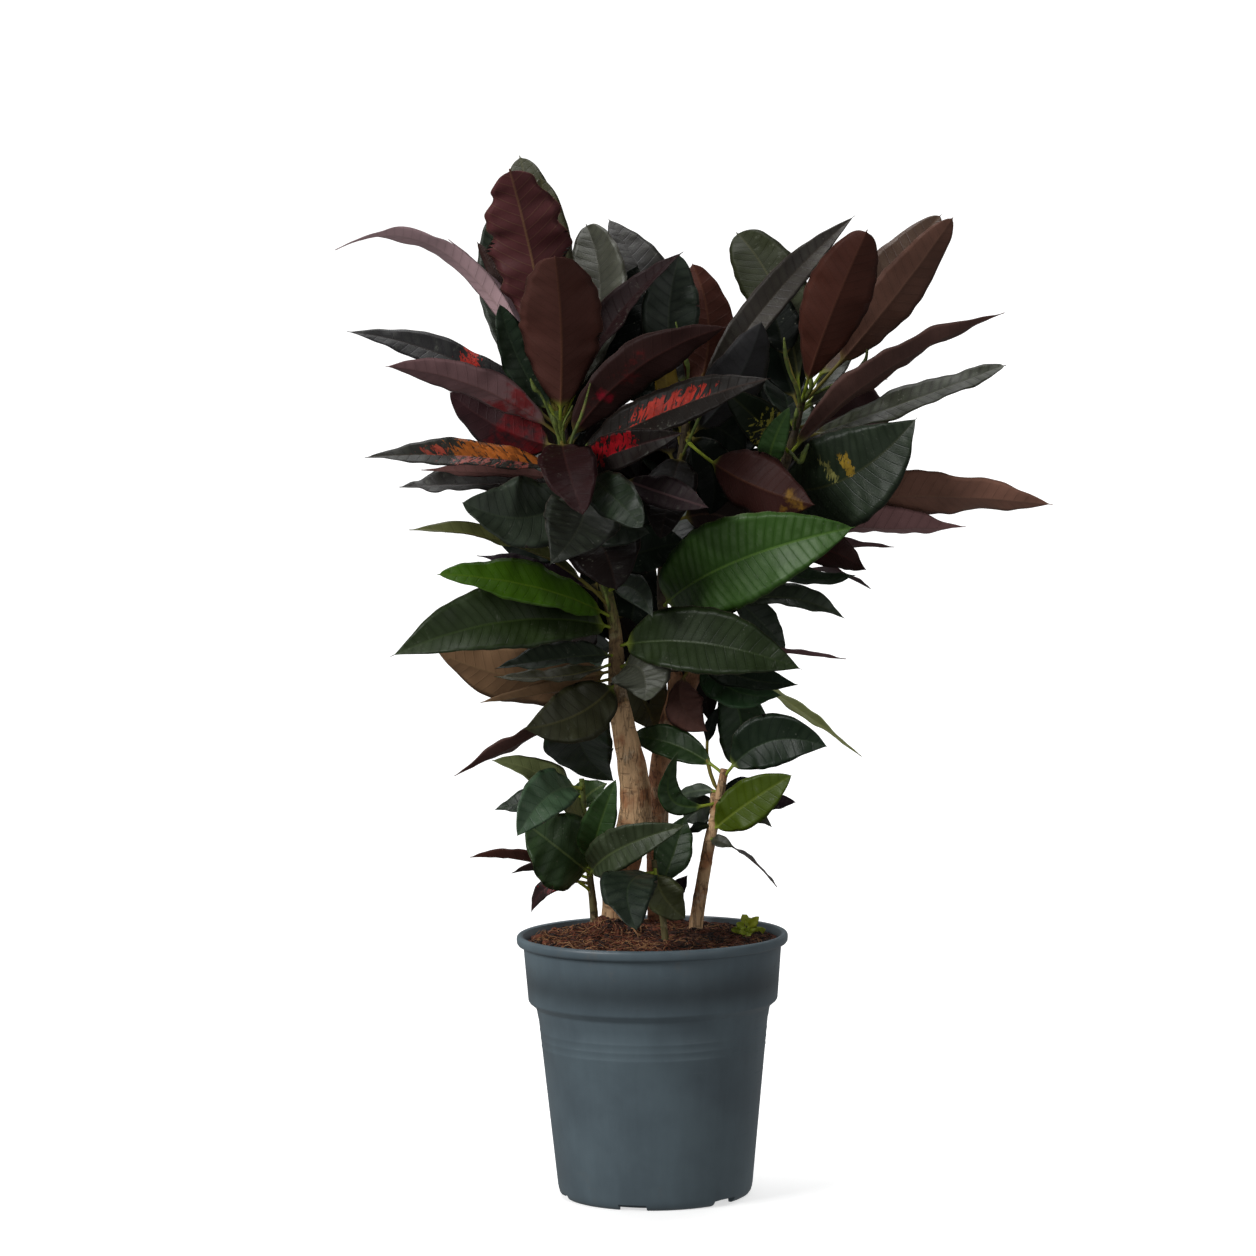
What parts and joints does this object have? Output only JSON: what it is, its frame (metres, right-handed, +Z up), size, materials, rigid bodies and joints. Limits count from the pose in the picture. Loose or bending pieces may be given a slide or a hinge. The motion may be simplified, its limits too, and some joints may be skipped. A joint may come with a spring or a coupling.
{
  "type": "potted_croton",
  "caption": "Potted croton: tan trunks and green shoots carry long waved leaves above a tapering slate pot filled with coir.",
  "frame": {"origin": "centre of the pot's base, on the surface that the pot stands on", "axes": "+Z up along the pot's axis, +X to the right as seen from the front, +Y away from the front"},
  "size_m": [0.5399, 0.3009, 0.8088],
  "materials": {
    "pot_plastic": "moulded slate grey with a soft sheen and fine scuffs",
    "coir": "damp red-brown coir fibre and bark chips",
    "bark": "tan bark with leaf scars and grey patches",
    "croton_leaf": "leathery blade, dark green to maroon with orange and red patches",
    "young_leaf": "leathery blade, green with lighter veins",
    "sprout": "soft yellow-green blade"
  },
  "bodies": {
    "root": {"pot": "pot_plastic", "soil": "coir", "trunk_left": "bark", "trunk_middle": "bark", "left_foliage": "croton_leaf", "middle_foliage": "croton_leaf", "right_foliage": "croton_leaf", "side_stem": "young_leaf", "basal_left": "young_leaf", "basal_front": "young_leaf", "seedlings": "sprout"}
  },
  "joints": []
}
